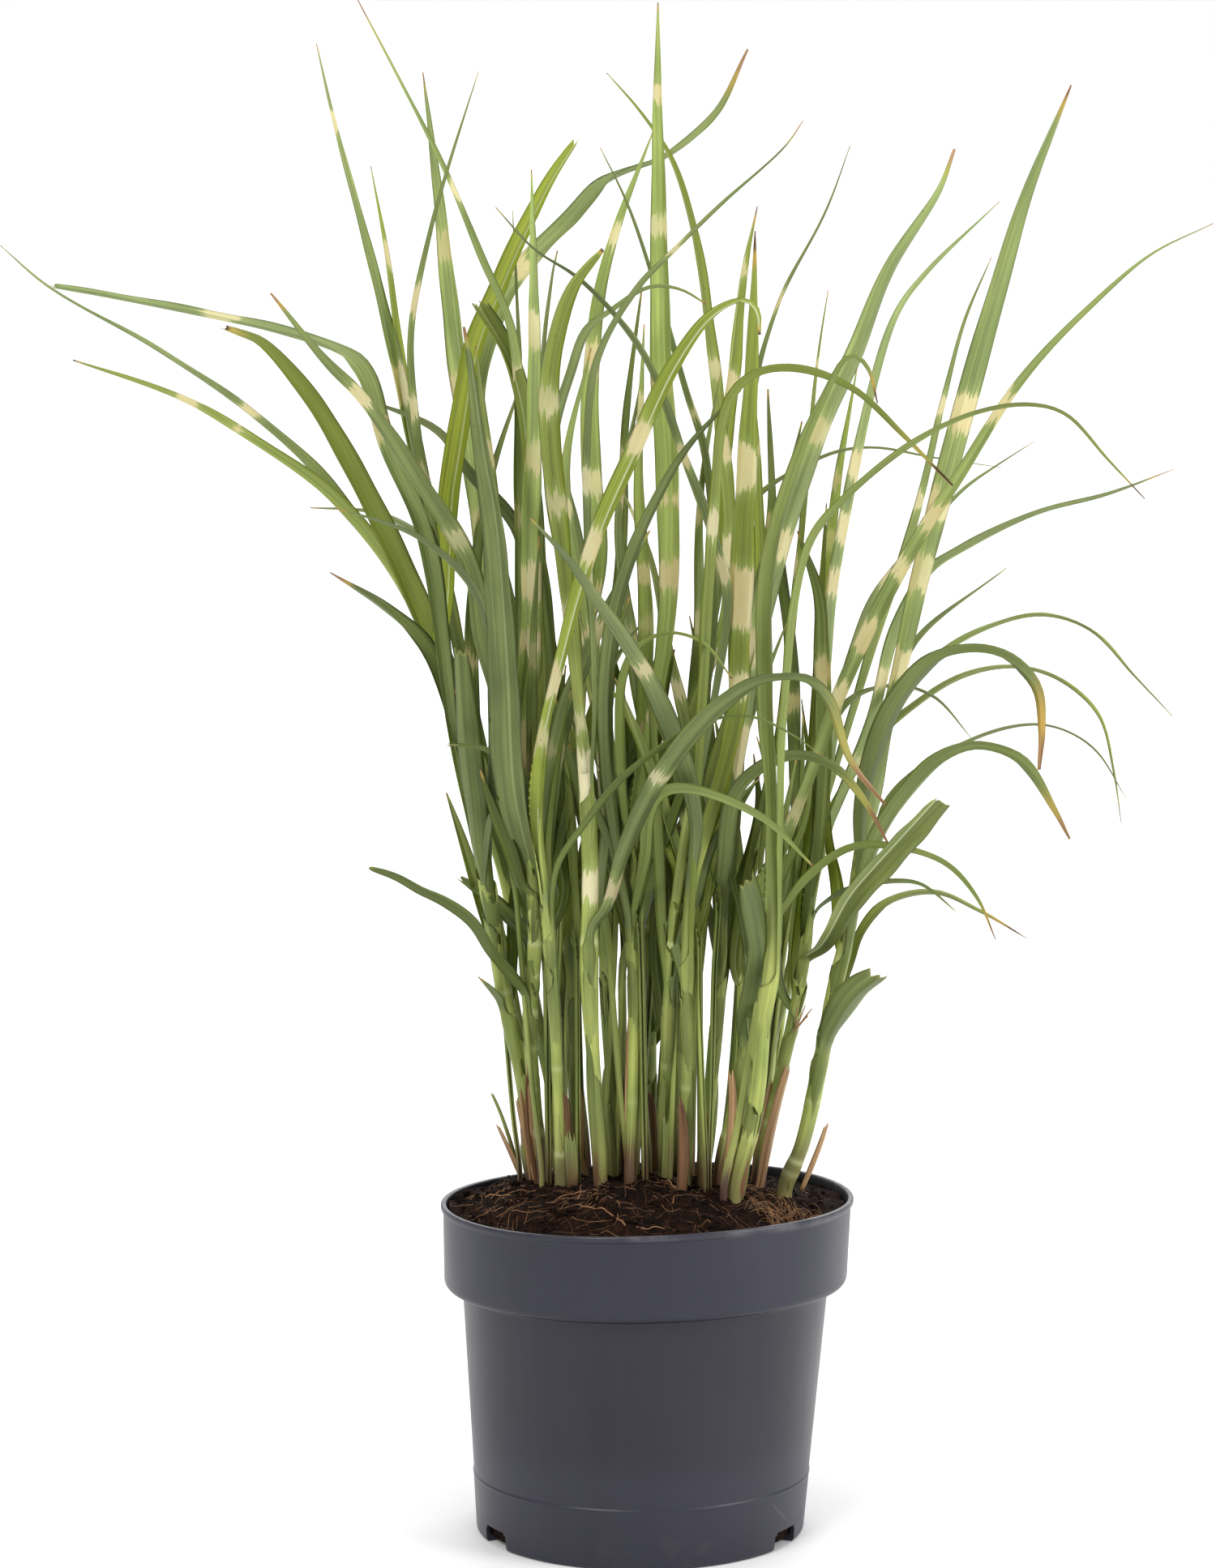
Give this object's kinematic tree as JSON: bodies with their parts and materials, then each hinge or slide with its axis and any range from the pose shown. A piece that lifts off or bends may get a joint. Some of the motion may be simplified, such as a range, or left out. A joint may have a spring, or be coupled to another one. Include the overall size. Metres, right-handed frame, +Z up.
{
  "type": "potted miscanthus grass clump",
  "caption": "Upright clump of ornamental grass with cream-banded arching leaves, standing in a round nursery pot filled with peat.",
  "frame": {"origin": "centre of the pot's flat underside, on the ground", "axes": "+Z up along the pot's axis, -Y towards the side the picture shows, +X to that side's right"},
  "size_m": [0.6956, 0.421, 0.86],
  "materials": {
    "pot_plastic": "satin slate-grey moulded plastic",
    "peat": "rough moist peat with root fibres",
    "stem": "smooth satin green stem",
    "leaf": "satin green leaf with cream bands"
  },
  "bodies": {
    "root": {"pot": "pot_plastic", "soil": "peat", "stem_01": "stem", "stem_02": "stem", "stem_03": "stem", "stem_04": "stem", "stem_05": "stem", "stem_06": "stem", "stem_07": "stem", "stem_08": "stem", "stem_09": "stem", "stem_10": "stem", "stem_11": "stem", "stem_12": "stem", "stem_13": "stem", "stem_14": "stem", "stem_15": "stem", "stem_16": "stem", "stem_17": "stem", "stem_18": "stem", "stem_19": "stem", "stem_20": "stem", "stem_21": "stem", "stem_22": "stem", "leaf_left_01": "leaf", "leaf_left_02": "leaf", "leaf_left_04": "leaf", "leaf_left_05": "leaf", "leaf_left_06": "leaf", "leaf_left_07": "leaf", "leaf_left_08": "leaf", "leaf_left_12": "leaf", "leaf_left_13": "leaf", "leaf_left_17": "leaf", "leaf_left_18": "leaf", "leaf_left_40": "leaf", "leaf_left_41": "leaf", "leaf_mid_25": "leaf", "leaf_mid_30": "leaf", "leaf_mid_31": "leaf", "leaf_mid_32": "leaf", "leaf_mid_33": "leaf", "leaf_right_02": "leaf", "leaf_right_05": "leaf", "leaf_right_12": "leaf", "leaf_right_14": "leaf", "leaf_right_15": "leaf", "leaf_right_17": "leaf", "leaf_right_19": "leaf", "leaf_right_20": "leaf", "leaf_right_21": "leaf", "leaf_right_22": "leaf", "leaf_right_23": "leaf", "leaf_right_24": "leaf", "leaf_right_25": "leaf", "leaf_right_27": "leaf", "leaf_right_28": "leaf"}
  },
  "joints": []
}
